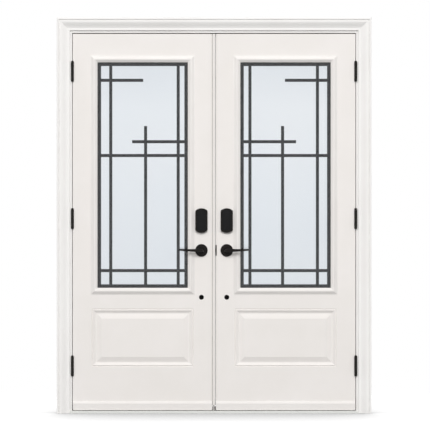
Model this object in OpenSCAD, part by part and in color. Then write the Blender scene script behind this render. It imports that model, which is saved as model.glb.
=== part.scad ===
// Pair of steel entry door leaves in a cased frame.
// X runs to the right, Y away from the front, Z up. The leaf fronts lie at y = 0 and
// the sill stands on z = 0. Shapes are drawn for the right leaf and mirrored for the left.

/* [Leaf] */
// Width of leaf left on each side of the lite
lite_side = 96; // [85:1:140]
// Height of leaf left above the lite
lite_top = 117; // [70:0.5:200]
// Height of leaf left between the panel and the lite
mid_rail = 75.5; // [40:0.5:160]
// Height of leaf left below the panel
panel_base = 231.5; // [120:0.5:300]
// Thickness of one leaf
leaf_t = 44.5; // [42:0.5:50]
// Height of the leaf's lower edge above the floor
leaf_lift = 20; // [18:0.5:30]
// Thickness of the steel skins
skin_t = 0.8; // [0.6:0.1:1.2]
// Width of skin folded round each long edge
skin_return = 14; // [8:0.5:16]
// Width of the slope along the meeting edge
chamfer_w = 9; // [5:0.5:12]
// Depth of the slope along the meeting edge
chamfer_d = 5.5; // [2:0.5:7]
// Width of the stile at the hinges
hinge_stile_w = 40; // [30:1:60]
// Wood left behind the lock bores
stile_wall = 5; // [3:0.5:12]
// Height of the top rail
top_rail_h = 40; // [30:1:60]
// Height of the bottom rail
bottom_rail_h = 60; // [40:1:90]

/* [Gaps] */
// Gap between a leaf and the side jamb
hinge_gap = 3; // [2.5:0.1:5]
// Gap between a leaf and the head jamb
head_gap = 5; // [2:0.1:6]
// Gap between the astragal and the right leaf
run_gap = 3; // [2.6:0.1:5]
// Clearance round a part that slides or turns
slide_clear = 0.3; // [0.2:0.05:0.5]
// Clearance between a seal and the leaf it closes on
seal_clear = 0.4; // [0.3:0.05:1]

/* [Frame] */
// Thickness of the jambs
jamb_t = 20; // [18:1:40]
// Depth of the jambs from front to back
jamb_d = 116; // [100:1:180]
// Height of the stop above the jamb face
stop_h = 13; // [10:0.5:16]
// Thickness of the seal between leaf and stop
seal_t = 7.5; // [5:0.5:10]
// Width of the groove that holds a seal
kerf_w = 3; // [2.5:0.1:4]
// Depth of the groove that holds a seal
kerf_d = 8; // [5:0.5:10]
// Radius of the screw holes through the side jambs
screw_r = 2.75; // [2:0.05:4]
// Height of the lower jamb screw
screw_low_z = 640; // [500:1:800]
// Height of the upper jamb screw
screw_high_z = 1480; // [1300:1:1600]

/* [Casing] */
// Width of the casing
casing_w = 70; // [62:1:100]
// How far the casing stands in front of the jambs
casing_d = 30; // [26:1:32]
// Width of jamb edge left showing
reveal = 12; // [9:0.5:15]
// Width of the flat outer band
casing_band = 8.5; // [6:0.5:12]
// Depth of the groove beside the outer band
casing_quirk = 2.6; // [1:0.2:4]
// Radius of the bead near the inner edge
casing_bead_r = 4.5; // [3:0.5:6]

/* [Sill] */
// Height of the sill's tread
sill_z = 13; // [9:0.5:15]
// How far the sill reaches in front of the jambs
sill_nose = 22; // [10:1:26]
// Width of the grooves along the tread
rib_w = 2; // [1:0.25:3]
// Depth of the grooves along the tread
rib_d = 1; // [0.5:0.1:2]
// Distance between the grooves along the tread
rib_pitch = 5; // [4:0.25:7]
// Height of the bumper behind the leaves
bumper_z = 34; // [30:1:45]
// Thickness of the bumper from front to back
bumper_t = 12; // [10:1:20]

/* [Lite] */
// Width over the lite frame
lite_w = 565; // [450:1:700]
// Height over the lite frame
lite_h = 1297; // [1050:1:1550]
// Width of the lite frame's members
lite_m = 38; // [35:0.5:42]
// Distance of the frame's ridge from its outer edge
lite_ridge_u = 20; // [14:0.5:21]
// Height of the frame's ridge above the leaf
lite_ridge_v = 10; // [6:0.5:16]
// Width of the frame lapped over the skin
lite_lap = 22; // [21.5:0.5:24]
// Thickness of one pane
pane_t = 3.2; // [3:0.1:4]
// Thickness of the sealed unit
unit_t = 24.5; // [20:0.5:26]
// Gap between the sealed unit's edge and the leaf's cut-out
unit_gap = 2; // [1:0.5:3]
// Width of the spacer between the panes
spacer_w = 8; // [6:0.5:9]

/* [Grille] */
// Width of the grille bars
bar_w = 16.5; // [10:0.5:20]
// Width that shows of the bar round the glass
edge_bar_w = 18.5; // [12:0.5:24]
// Thickness of the grille bars
bar_t = 8; // [6:0.5:14]
// Hinge-side bar, from the glass edge at the hinge side
bar_hinge_in = 71; // [50:1:120]
// Short middle bar, from the glass edge at the hinge side
bar_mid_in = 260; // [200:1:320]
// Lock-side bar, from the glass edge at the meeting side
bar_lock_in = 52; // [40:1:120]
// Top of the short middle bar, below the glass top
bar_mid_top = 344; // [200:1:400]
// Upper cross bar, below the glass top
cross_upper = 96; // [60:1:160]
// Reach of the upper cross bar from the glass edge at the hinge side
cross_upper_len = 247; // [150:1:330]
// Short cross bar, below the glass top
cross_short = 429; // [300:1:460]
// Start of the short cross bar from the glass edge at the hinge side
cross_short_in = 187; // [100:1:260]
// Middle cross bar, below the glass top
cross_mid = 504; // [480:1:700]
// Lower cross bar, above the glass bottom
cross_lower = 93; // [60:1:160]

/* [Panel] */
// Width of the pressed panel
panel_w = 551; // [400:1:620]
// Height of the pressed panel
panel_h = 314; // [200:1:400]
// Width of the narrow groove round the panel
quirk_w = 7; // [4:0.5:10]
// Depth of the narrow groove round the panel
quirk_d = 3.2; // [1:0.2:4]
// Distance of the panel's hollow from its outer edge
groove_u = 24; // [16:0.5:30]
// Depth of the panel's hollow
groove_d = 8; // [3:0.25:9]
// Width from the panel's outer edge to its field
field_u = 53; // [36:1:70]

/* [Hinges] */
// Lowest hinge's centre above the leaf's lower edge
hinge_low = 237; // [120:1:320]
// Highest hinge's centre below the leaf's upper edge
hinge_high = 203; // [120:1:320]
// Height of the hinge plates
hinge_h = 102; // [80:1:120]
// Thickness of the hinge plates
plate_t = 2.5; // [2:0.1:3.5]
// Width of the hinge plates on the leaf and the jamb
plate_w = 36; // [28:1:40]
// Radius of the hinge barrel
barrel_r = 8; // [6:0.25:9]
// Gap between the barrel and the leaf front
barrel_gap = 0.5; // [0.4:0.1:1.5]
// Radius of the hinge pin
pin_r = 3; // [2:0.1:4]
// Radial clearance of the hinge pin
pin_clear = 0.05; // [0.02:0.01:0.1]
// Radius of the screw holes in the hinge plates
plate_hole_r = 2.4; // [2:0.1:3]
// Height of the tip at each end of the pin
tip_h = 6; // [3:0.5:8]

/* [Locks] */
// Gap between the lever rosettes and the lite frame
lock_gap = 2; // [1:0.5:8]
// Height of the levers
lever_z = 882; // [800:1:1000]
// Height of the lock covers above the levers
lock_rise = 162; // [125:1:220]
// Depth of the bore plug below the levers
plug_drop = 254; // [120:1:320]
// Radius of the bores through the lock stile
cross_r = 27; // [20:0.5:27]
// Radius of the bores from the edge
edge_r = 12.5; // [11:0.25:13]
// Width of the lock covers
cover_w = 66; // [58:1:80]
// Height of the lock covers
cover_h = 132; // [110:1:150]
// Rise of the arcs at the covers' ends
cover_rise = 13; // [4:0.5:20]
// Depth of the lock covers
cover_d = 22; // [14:1:30]
// Width of the bevel round the covers' fronts
cover_bevel = 5; // [2:0.5:9]
// Depth of the recess in the front covers
cover_recess = 1.2; // [0.5:0.1:3]
// Width of the rim round the recess in the front covers
cover_rim = 4; // [2:0.5:8]
// Radius of the lever rosettes
rosette_r = 34; // [30:0.5:40]
// Thickness of the lever rosettes
rosette_t = 10; // [6:0.5:14]
// Radius of the lever hubs
hub_r = 11; // [9:0.5:13]
// Distance of the lever's arm from the leaf
lever_off = 46; // [40:1:60]
// Reach of the lever from its axis
lever_len = 122; // [100:1:140]
// Half height of the lever at its hub
lever_root_r = 8.5; // [6:0.25:9.5]
// Half height of the lever at its tip
lever_tip_r = 4.5; // [3:0.25:6]
// Rise of the lever's tip
lever_rise = 3.5; // [0:0.5:8]
// Side of the square spindle
spindle_w = 8; // [7:0.5:9]
// Radius of the bore plug's cap
plug_r = 13.25; // [12.5:0.25:16]
// Height of the edge plates
edge_plate_h = 57; // [50:1:70]
// Width of the edge plates
edge_plate_w = 25.4; // [24:0.2:28]
// Thickness of the edge plates
edge_plate_t = 2.5; // [1.5:0.1:3]
// Radius of the screw holes in the edge plates
edge_hole_r = 2; // [1.5:0.1:2.5]

/* [Bolts] */
// Height of the latch bolt's nose
latch_h = 16; // [12:0.5:20]
// Thickness of the latch bolt's nose
latch_w = 12; // [10:0.5:14]
// Throw of the latch bolt
latch_throw = 12.7; // [9:0.1:14]
// Radius of the deadbolt
deadbolt_r = 8; // [6:0.25:9]
// Throw of the deadbolt
deadbolt_throw = 25; // [15:0.5:26]
// Radius of the top and bottom bolts
shoot_r = 4; // [3:0.25:5]
// Throw of the top and bottom bolts
shoot_throw = 16; // [8:0.5:17]
// Distance of the top and bottom bolts from the meeting edge
shoot_in = 22; // [18:0.5:26]

/* [Edges] */
// Width of the astragal between the leaves
nose_w = 14; // [12:0.5:20]
// Radius of the astragal's edges
nose_round = 1.5; // [0.5:0.25:3]
// Width of the open seam between the astragal and the leaf
seam_w = 2.5; // [1:0.5:4]
// Depth of the open seam
seam_d = 7; // [2:0.5:10]
// Height of the boot under the astragal
boot_h = 30; // [20:1:50]
// Gap between the boot and the sill
boot_gap = 1; // [0.5:0.1:3]
// Waist of the boot on each side
boot_waist = 3; // [1:0.25:4]
// Height of the drip strip
drip_h = 45; // [30:1:60]
// How far the drip strip hangs below the leaf
drip_drop = 3.5; // [0:0.25:4]
// How far the drip strip stands in front of the leaf
drip_d = 10; // [6:0.5:11]
// Height of the slope along the drip strip's top
drip_slope = 12; // [6:0.5:18]
// Wall of the drip strip
drip_wall = 1.5; // [1:0.1:2.5]
// Distance of the drip strip's ends from the leaf's edges
drip_end = 2; // [1:0.5:8]
// Reach of the strike's lip along the sloped edge
lip_reach = 5.5; // [2:0.25:7]
// Thickness of the strike's lip
lip_t = 0.8; // [0.5:0.1:1.2]

/* [Hidden] */
$fn = 48;

// Levels and lines that the pieces share
half_meet = (nose_w + run_gap) / 2;
leaf_w = lite_w + 2 * lite_side;
leaf_h = panel_base + panel_h + mid_rail + lite_h + lite_top;
edge_x = half_meet + leaf_w;
mid_x = half_meet + leaf_w / 2;
mid_y = leaf_t / 2;
backset = lite_side - lock_gap - max(cover_w / 2, rosette_r);
lock_x = half_meet + backset;
lock_stile_w = backset + cross_r + stile_wall;
lock_z = lever_z + lock_rise;
plug_z = lever_z - plug_drop;
nose_x = half_meet - run_gap;
jamb_x = edge_x + hinge_gap;
jamb_out = jamb_x + jamb_t;
stop_x = jamb_x - stop_h;
stop_y = leaf_t + seal_t;
screw_y = (stop_y + jamb_d) / 2;
leaf_z0 = leaf_lift;
leaf_z1 = leaf_z0 + leaf_h;
panel_z = leaf_z0 + panel_base + panel_h / 2;
lite_z = leaf_z1 - lite_top - lite_h / 2;
head_z = leaf_z1 + head_gap;
head_top = head_z + jamb_t;
casing_in = jamb_x + reveal;
casing_out = casing_in + casing_w;
casing_in_z = head_z + reveal;
casing_top = casing_in_z + casing_w;
axis_x = edge_x + hinge_gap / 2;
axis_y = -barrel_r - barrel_gap;
hinge_low_z = leaf_z0 + hinge_low;
hinge_high_z = leaf_z1 - hinge_high;
hinge_zs = [hinge_low_z, (hinge_low_z + hinge_high_z) / 2, hinge_high_z];
shoot_x = half_meet + shoot_in;

// Length of the slope along the meeting edge
chamfer_l = sqrt(chamfer_w * chamfer_w + chamfer_d * chamfer_d);

// Size of the sealed unit and of the glass that shows
cut_w = lite_w - 2 * lite_lap;
cut_h = lite_h - 2 * lite_lap;
unit_w = cut_w - 2 * unit_gap;
unit_h = cut_h - 2 * unit_gap;
glass_w = lite_w - 2 * lite_m;
glass_h = lite_h - 2 * lite_m;
unit_y = (leaf_t - unit_t) / 2;

// Depth that cuts reach past the piece they cut
past = 1;
// Depth of a cut that has to reach right through
through = 400;
// Number of knuckles on a hinge
knuckles = 5;
// Gap between neighbouring knuckles
knuckle_gap = 0.4;
// Depth of the foam's relief behind the pressed panel
relief_d = groove_d + skin_t + 0.2;
// Steps along a drawn arc
arc_steps = 8;
// Width that the pressed ring shares with the flat sheet
press_lap = 2;
// Width of the flat bottom of the panel's hollow
groove_w = 3;
// Number of grooves along the tread
rib_n = 6;

white = "#eeeae6";
steel_black = "#26241f";
glass_tint = "#e2e7ee";

// Points on an ellipse from angle a0 to a1
function arc(cx, cy, rx, ry, a0, a1) =
    [for (i = [0 : arc_steps]) let (a = a0 + (a1 - a0) * i / arc_steps)
        [cx + rx * cos(a), cy + ry * sin(a)]];

// Box between two corners
module box(low, high) {
    translate(low) cube(high - low);
}

// Puts a shape of the right leaf on the left
module on_left() {
    mirror([1, 0, 0]) children();
}

// Puts a shape of the leaf's front on its back
module on_back() {
    translate([0, leaf_t, 0]) mirror([0, 1, 0]) children();
}

// Extrudes a profile drawn in Y and Z along X, from x0 to x1
module along_x(x0, x1) {
    translate([x0, 0, 0]) rotate([90, 0, 90]) linear_extrude(x1 - x0) children();
}

// Extrudes an outline drawn in X and Z towards the front
module towards_front(depth) {
    rotate([90, 0, 0]) linear_extrude(depth) children();
}

// Round bar or bore along Y, from y0 to y1
module bar_y(x, z, r, y0, y1) {
    translate([x, y0, z]) rotate([-90, 0, 0]) cylinder(r = r, h = y1 - y0);
}

// Round bar or bore along X, from x0 to x1
module bar_x(y, z, r, x0, x1) {
    translate([x0, y, z]) rotate([0, 90, 0]) cylinder(r = r, h = x1 - x0);
}

// Closed ring of four mitred members. The profile is drawn with x inwards from the
// ring's outer edge and y towards the front.
module mitred_ring(w, h, reach) {
    for (turn = [0 : 3]) {
        side_l = turn % 2 == 0 ? w : h;
        side_z = turn % 2 == 0 ? h / 2 : w / 2;
        rotate([0, 90 * turn, 0]) intersection() {
            translate([0, 0, -side_z])
                rotate([90, 0, 90]) linear_extrude(side_l, center = true) rotate(90) children();
            rotate([90, 0, 0]) linear_extrude(through, center = true) polygon([
                [-side_l / 2, -side_z], [side_l / 2, -side_z],
                [side_l / 2 - reach, reach - side_z], [reach - side_l / 2, reach - side_z]
            ]);
        }
    }
}

// Frame

// Seal with a round nose towards negative y and a barb that fits the groove
module seal_profile() {
    barb_w = kerf_w - 0.4;
    barb_d = kerf_d - 1;
    polygon(concat(
        arc(0, 0, stop_h / 2 - 0.2, seal_t - seal_clear, 180, 360),
        [[barb_w / 2, 0], [barb_w / 2, barb_d], [-barb_w / 2, barb_d], [-barb_w / 2, 0]]
    ));
}

module hinge_mortise(x0, x1) {
    for (z = hinge_zs)
        box([x0, -past, z - hinge_h / 2], [x1, plate_w, z + hinge_h / 2]);
}

module side_jamb() {
    color(white) difference() {
        linear_extrude(head_top) polygon([
            [jamb_x, 0], [jamb_out, 0], [jamb_out, jamb_d],
            [stop_x, jamb_d], [stop_x, stop_y], [jamb_x, stop_y]
        ]);
        // The head jamb's stop meets the side stop below the head
        box([stop_x - past, stop_y, head_z], [jamb_x, jamb_d + past, head_top + past]);
        box([jamb_x - stop_h / 2 - kerf_w / 2, stop_y - past, -past],
            [jamb_x - stop_h / 2 + kerf_w / 2, stop_y + kerf_d, head_z]);
        hinge_mortise(jamb_x - past, jamb_x + plate_t);
        for (z = [screw_low_z, screw_high_z])
            bar_x(screw_y, z, screw_r, jamb_x - past, jamb_out + past);
    }
}

module head_jamb() {
    kerf_z = head_z - stop_h / 2;
    color(white) difference() {
        union() {
            box([-jamb_x, 0, head_z], [jamb_x, jamb_d, head_top]);
            box([-stop_x, stop_y, head_z - stop_h], [stop_x, jamb_d, head_z]);
        }
        box([-stop_x - past, stop_y - past, kerf_z - kerf_w / 2],
            [stop_x + past, stop_y + kerf_d, kerf_z + kerf_w / 2]);
        translate([shoot_x, mid_y, head_z - past])
            cylinder(r = shoot_r + 1, h = shoot_throw + past);
    }
}

// Casing profile: x from the outer edge inwards, y towards the front
module casing_profile() {
    edge_round = 1.5;
    // Upper bead beside the outer band
    cap_r = 5;
    cap_u = casing_band + 2 * edge_round + cap_r;
    cap_v = casing_d - casing_quirk;
    // Double curve down to the inner bead
    bead_u = casing_w - casing_bead_r - 5;
    curve_u0 = cap_u + cap_r * cos(40);
    curve_u1 = bead_u - casing_bead_r;
    curve_v0 = cap_v + casing_quirk * sin(40);
    curve_v1 = casing_d / 2;
    lip_v = curve_v1 - 4;
    polygon(concat(
        [[0, 0]],
        arc(edge_round, casing_d - edge_round, edge_round, edge_round, 180, 90),
        [[casing_band, casing_d], [casing_band + edge_round, cap_v]],
        arc(cap_u, cap_v, cap_r, casing_quirk, 180, 40),
        [for (i = [1 : arc_steps]) let (t = i / arc_steps)
            [curve_u0 + (curve_u1 - curve_u0) * t,
                curve_v0 + (curve_v1 - curve_v0) * (1 - cos(180 * t)) / 2]],
        arc(bead_u, curve_v1, casing_bead_r, casing_bead_r, 165, 0),
        [[bead_u + casing_bead_r, lip_v], [casing_w - edge_round, lip_v]],
        [[casing_w, lip_v - edge_round], [casing_w, 0]]
    ));
}

module side_casing() {
    color(white) intersection() {
        translate([casing_out, 0, 0]) linear_extrude(casing_top) mirror([0, 1]) mirror([1, 0])
            casing_profile();
        rotate([90, 0, 0]) linear_extrude(through, center = true) polygon([
            [casing_in, 0], [casing_out, 0], [casing_out, casing_top], [casing_in, casing_in_z]
        ]);
    }
}

module head_casing() {
    color(white) intersection() {
        along_x(-casing_out, casing_out) translate([0, casing_top]) rotate(90) mirror([1, 0])
            casing_profile();
        rotate([90, 0, 0]) linear_extrude(through, center = true) polygon([
            [-casing_out, casing_top], [casing_out, casing_top],
            [casing_in, casing_in_z], [-casing_in, casing_in_z]
        ]);
    }
}

module sill() {
    nose_edge = 2;
    back_z = 14;
    // Metal left under the bolt's hole
    hole_floor = 3;
    kerf_z = bumper_z - stop_h / 2;
    color("#dedfda") difference() {
        union() {
            // Tread between the jambs, with a nose between the casings
            along_x(-jamb_x, jamb_x) polygon([
                [-sill_nose, 0], [stop_y, 0], [stop_y, sill_z],
                [nose_edge - sill_nose, sill_z], [-sill_nose, sill_z - nose_edge]
            ]);
            along_x(-casing_in, casing_in) polygon([
                [-sill_nose, 0], [0, 0], [0, sill_z],
                [nose_edge - sill_nose, sill_z], [-sill_nose, sill_z - nose_edge]
            ]);
            // Bumper and inner ramp between the stops
            along_x(-stop_x, stop_x) polygon([
                [stop_y, 0], [jamb_d, 0], [jamb_d, back_z - nose_edge],
                [jamb_d - nose_edge, back_z], [stop_y + bumper_t + 2 * nose_edge, back_z],
                [stop_y + bumper_t, bumper_z - nose_edge],
                [stop_y + bumper_t - nose_edge, bumper_z], [stop_y, bumper_z]
            ]);
        }
        box([-stop_x - past, stop_y - past, kerf_z - kerf_w / 2],
            [stop_x + past, stop_y + kerf_d, kerf_z + kerf_w / 2]);
        translate([shoot_x, mid_y, hole_floor])
            cylinder(r = shoot_r + 1, h = sill_z - hole_floor + past);
        for (i = [1 : rib_n])
            box([-casing_in - past, i * rib_pitch - sill_nose, sill_z - rib_d],
                [casing_in + past, i * rib_pitch - sill_nose + rib_w, sill_z + past]);
    }
}

module sill_seal() {
    color("dimgray") along_x(-stop_x, stop_x)
        translate([stop_y, bumper_z - stop_h / 2]) rotate(-90) seal_profile();
}

module side_weatherstrip() {
    color("gainsboro") translate([jamb_x - stop_h / 2, stop_y, sill_z])
        linear_extrude(head_z - sill_z) seal_profile();
}

module head_weatherstrip() {
    color("gainsboro") along_x(-stop_x, stop_x)
        translate([stop_y, head_z - stop_h / 2]) rotate(-90) seal_profile();
}

// Hinges

// One half of a hinge, centred on its own height. The plate lies at plate_x and the
// knuckles with these numbers belong to it.
module hinge_half(plate_x, own) {
    pitch = hinge_h / knuckles;
    difference() {
        union() {
            box([plate_x, 0, -hinge_h / 2], [plate_x + plate_t, plate_w, hinge_h / 2]);
            for (k = own) {
                z0 = k * pitch - hinge_h / 2 + knuckle_gap / 2;
                z1 = z0 + pitch - knuckle_gap;
                translate([axis_x, axis_y, z0]) cylinder(r = barrel_r, h = z1 - z0);
                box([plate_x, axis_y, z0], [plate_x + plate_t, 0, z1]);
            }
        }
        translate([axis_x, axis_y, -hinge_h])
            cylinder(r = pin_r + pin_clear, h = 2 * hinge_h);
        // Screw holes, the outer pair nearer to the barrel
        for (side = [-1, 1]) {
            bar_x(plate_w / 3, side * hinge_h * 0.38, plate_hole_r, plate_x - past, plate_x + plate_t + past);
            bar_x(plate_w * 2 / 3, side * hinge_h * 0.15, plate_hole_r, plate_x - past, plate_x + plate_t + past);
        }
    }
}

module leaf_hinges() {
    color("#3a3733") for (z = hinge_zs)
        translate([0, 0, z]) hinge_half(edge_x - plate_t, [1, 3]);
}

module jamb_hinges() {
    color("#3a3733") for (z = hinge_zs)
        translate([0, 0, z]) hinge_half(jamb_x, [0, 2, 4]);
}

// Pin with a rounded tip at each end
module hinge_pin() {
    tip_r = barrel_r - 0.5;
    half_l = hinge_h / 2;
    rotate_extrude() polygon(concat(
        [[0, -half_l - tip_h]],
        arc(0, -half_l, tip_r, tip_h, -75, 0),
        [[pin_r, -half_l], [pin_r, half_l]],
        arc(0, half_l, tip_r, tip_h, 0, 75),
        [[0, half_l + tip_h]]
    ));
}

module pins() {
    color("#3a3733") for (z = hinge_zs)
        translate([axis_x, axis_y, z]) hinge_pin();
}

// Leaf shell

// Pressed panel: sheet profile with a narrow groove, a hollow and a slope up to the field,
// and a flat lap at each side where it runs into the rest of the sheet
module panel_profile() {
    line = [for (p = [
        [0, 0], [quirk_w * 0.3, -quirk_d], [quirk_w * 0.5, -quirk_d], [quirk_w, -0.2],
        [quirk_w + 3, -0.5], [groove_u - 4, -groove_d * 0.85], [groove_u, -groove_d],
        [groove_u + groove_w, -groove_d], [field_u, 0]
    ]) p + [press_lap, 0]];
    front = concat([[0, 0]], line, [[2 * press_lap + field_u, 0]]);
    back = [for (i = [len(front) - 1 : -1 : 0]) front[i] - [0, skin_t]];
    polygon(concat(front, back));
}

module panel_press() {
    translate([mid_x, 0, panel_z]) {
        mitred_ring(panel_w + 2 * press_lap, panel_h + 2 * press_lap, field_u + 2 * press_lap)
            panel_profile();
        box([field_u - panel_w / 2, 0, field_u - panel_h / 2],
            [panel_w / 2 - field_u, skin_t, panel_h / 2 - field_u]);
    }
}

// Opening for the sealed unit through the whole leaf
module lite_cut() {
    box([mid_x - cut_w / 2, -past, lite_z - cut_h / 2],
        [mid_x + cut_w / 2, leaf_t + past, lite_z + cut_h / 2]);
}

// Bores across the leaf for the lever spindle and the lock
module cross_bores() {
    for (z = [lever_z, lock_z])
        bar_y(lock_x, z, cross_r, -past, leaf_t + past);
}

// Folded sheet with a slope along its meeting edge
module skin_sheet() {
    inner_y = chamfer_d + skin_t * (chamfer_l - chamfer_d) / chamfer_w;
    inner_x = chamfer_w + skin_t * (chamfer_l - chamfer_w) / chamfer_d;
    translate([0, 0, leaf_z0]) linear_extrude(leaf_h) polygon([
        [half_meet, skin_return], [half_meet, chamfer_d], [half_meet + chamfer_w, 0],
        [edge_x, 0], [edge_x, skin_return], [edge_x - skin_t, skin_return],
        [edge_x - skin_t, skin_t], [half_meet + inner_x, skin_t],
        [half_meet + skin_t, inner_y], [half_meet + skin_t, skin_return]
    ]);
}

// Seats of the two strike plates in the right leaf's edge
module strike_seats() {
    for (z = [lever_z, lock_z])
        box([half_meet - past, mid_y - edge_plate_w / 2, z - edge_plate_h / 2],
            [half_meet + edge_plate_t, mid_y + edge_plate_w / 2, z + edge_plate_h / 2]);
}

module skin(front) {
    color(white) {
        difference() {
            skin_sheet();
            lite_cut();
            cross_bores();
            box([mid_x - panel_w / 2, -past, panel_z - panel_h / 2],
                [mid_x + panel_w / 2, skin_t + past, panel_z + panel_h / 2]);
            if (front) {
                hinge_mortise(edge_x - plate_t, edge_x + past);
                plug_bore();
            } else
                on_back() hinge_mortise(edge_x - plate_t, edge_x + past);
            children();
        }
        panel_press();
    }
}

// Plan of the leaf's inside, bounded by the skins
module inner_plan() {
    inner_y = chamfer_d + skin_t * (chamfer_l - chamfer_d) / chamfer_w;
    inner_x = chamfer_w + skin_t * (chamfer_l - chamfer_w) / chamfer_d;
    polygon([
        [half_meet + skin_t, inner_y], [half_meet + inner_x, skin_t],
        [edge_x - skin_t, skin_t], [edge_x - skin_t, leaf_t - skin_t],
        [half_meet + inner_x, leaf_t - skin_t], [half_meet + skin_t, leaf_t - inner_y]
    ]);
}

// The part of the leaf's inside between two lines and two levels
module inner_block(x0, x1, z0, z1) {
    intersection() {
        translate([0, 0, z0]) linear_extrude(z1 - z0) inner_plan();
        box([x0, -past, z0 - past], [x1, leaf_t + past, z1 + past]);
    }
}

module hinge_stile() {
    color("burlywood") difference() {
        inner_block(edge_x - hinge_stile_w, edge_x, leaf_z0, leaf_z1);
        hinge_mortise(edge_x - plate_t, edge_x + past);
    }
}

module plug_bore() {
    bar_y(lock_x, plug_z, plug_r - 1.5, -past, 12);
}

// Stile with the lock bores; what else is cut follows as children
module lock_stile() {
    color("burlywood") difference() {
        inner_block(half_meet, half_meet + lock_stile_w, leaf_z0, leaf_z1);
        cross_bores();
        plug_bore();
        children();
    }
}

// Edge bores of the left leaf, from its edge to the cross bores
module edge_bores() {
    for (z = [lever_z, lock_z])
        bar_x(mid_y, z, edge_r, half_meet - past, lock_x);
}

// Pockets behind the strikes and the bores of the top and bottom bolts
module strike_pockets() {
    for (z = [lever_z, lock_z])
        bar_x(mid_y, z, edge_r, half_meet - past, half_meet + deadbolt_throw);
}

module shoot_bores() {
    shoot_bore_r = shoot_r + slide_clear;
    translate([shoot_x, mid_y, leaf_z0 - past])
        cylinder(r = shoot_bore_r, h = lever_z - cross_r - leaf_z0);
    translate([shoot_x, mid_y, lock_z + cross_r])
        cylinder(r = shoot_bore_r, h = leaf_z1 - lock_z - cross_r + past);
}

module rails() {
    x0 = half_meet + lock_stile_w;
    x1 = edge_x - hinge_stile_w;
    color("burlywood") {
        inner_block(x0, x1, leaf_z0, leaf_z0 + bottom_rail_h);
        inner_block(x0, x1, leaf_z1 - top_rail_h, leaf_z1);
    }
}

module core() {
    x0 = half_meet + lock_stile_w;
    x1 = edge_x - hinge_stile_w;
    color("khaki") difference() {
        inner_block(x0, x1, leaf_z0 + bottom_rail_h, leaf_z1 - top_rail_h);
        lite_cut();
        for (y0 = [-past, leaf_t - relief_d])
            box([mid_x - panel_w / 2, y0, panel_z - panel_h / 2],
                [mid_x + panel_w / 2, y0 + relief_d + past, panel_z + panel_h / 2]);
    }
}

// Lite

// Frame member: lip, ridge, slope down to the glass and the leg that clamps the unit
module lite_profile() {
    lip_v = 1.6;
    leg_u = lite_lap + 0.5;
    slope_end = 9;
    polygon([
        [0, 0], [0, lip_v - 1], [1.5, lip_v],
        [lite_ridge_u - 3, lite_ridge_v - 0.8], [lite_ridge_u - 1, lite_ridge_v],
        [lite_ridge_u + 1, lite_ridge_v], [lite_ridge_u + 3, lite_ridge_v - 1],
        [lite_m, slope_end - unit_y], [lite_m, -unit_y], [leg_u, -unit_y], [leg_u, 0]
    ]);
}

module lite_frame() {
    color(white) translate([mid_x, 0, lite_z]) mitred_ring(lite_w, lite_h, lite_m) lite_profile();
}

module panes() {
    color(glass_tint, 0.5) for (y0 = [unit_y, unit_y + unit_t - pane_t])
        box([mid_x - unit_w / 2, y0, lite_z - unit_h / 2],
            [mid_x + unit_w / 2, y0 + pane_t, lite_z + unit_h / 2]);
}

// Rectangular ring centred on the lite
module lite_ring(w, h, member, y0, y1) {
    difference() {
        box([mid_x - w / 2, y0, lite_z - h / 2], [mid_x + w / 2, y1, lite_z + h / 2]);
        box([mid_x - w / 2 + member, y0 - past, lite_z - h / 2 + member],
            [mid_x + w / 2 - member, y1 + past, lite_z + h / 2 - member]);
    }
}

module spacer() {
    color("silver")
        lite_ring(unit_w, unit_h, spacer_w, unit_y + pane_t, unit_y + unit_t - pane_t);
}

// Grille bars: one welded lattice inside the sealed unit
module grille() {
    ring_w = unit_w - 2 * spacer_w;
    ring_h = unit_h - 2 * spacer_w;
    ring_m = edge_bar_w + (ring_w - glass_w) / 2;
    y0 = mid_y - bar_t / 2;
    y1 = mid_y + bar_t / 2;
    // Edges of the glass that shows
    hinge_side = mid_x + glass_w / 2;
    lock_side = mid_x - glass_w / 2;
    top = lite_z + glass_h / 2;
    bottom = lite_z - glass_h / 2;
    half = bar_w / 2;
    color("#404448") {
        lite_ring(ring_w, ring_h, ring_m, y0, y1);
        for (x = [hinge_side - bar_hinge_in, lock_side + bar_lock_in])
            box([x - half, y0, bottom], [x + half, y1, top]);
        box([hinge_side - bar_mid_in - half, y0, bottom],
            [hinge_side - bar_mid_in + half, y1, top - bar_mid_top]);
        box([hinge_side - cross_upper_len, y0, top - cross_upper - half],
            [hinge_side, y1, top - cross_upper + half]);
        box([lock_side, y0, top - cross_short - half],
            [hinge_side - cross_short_in, y1, top - cross_short + half]);
        for (z = [top - cross_mid, bottom + cross_lower])
            box([lock_side, y0, z - half], [hinge_side, y1, z + half]);
    }
}

// Leaf furniture

module drip_strip() {
    z0 = leaf_z0 - drip_drop;
    z1 = leaf_z0 + drip_h;
    color(white) along_x(half_meet + drip_end, edge_x - drip_end) polygon([
        [-drip_d, z0], [-drip_d, z1 - drip_slope], [-drip_wall, z1], [0, z1],
        [0, z1 - drip_slope - drip_wall], [drip_wall - drip_d, z1 - drip_slope - drip_wall],
        [drip_wall - drip_d, z0]
    ]);
}

// Outline with straight sides and a flat arc at each end
module cover_outline(inset) {
    w = cover_w - 2 * inset;
    h = cover_h - 2 * inset;
    r = (w * w / 4 + cover_rise * cover_rise) / (2 * cover_rise);
    a = asin(w / 2 / r);
    polygon(concat(
        arc(0, h / 2 - r, r, r, 90 - a, 90 + a),
        arc(0, r - h / 2, r, r, 270 - a, 270 + a)
    ));
}

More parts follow.
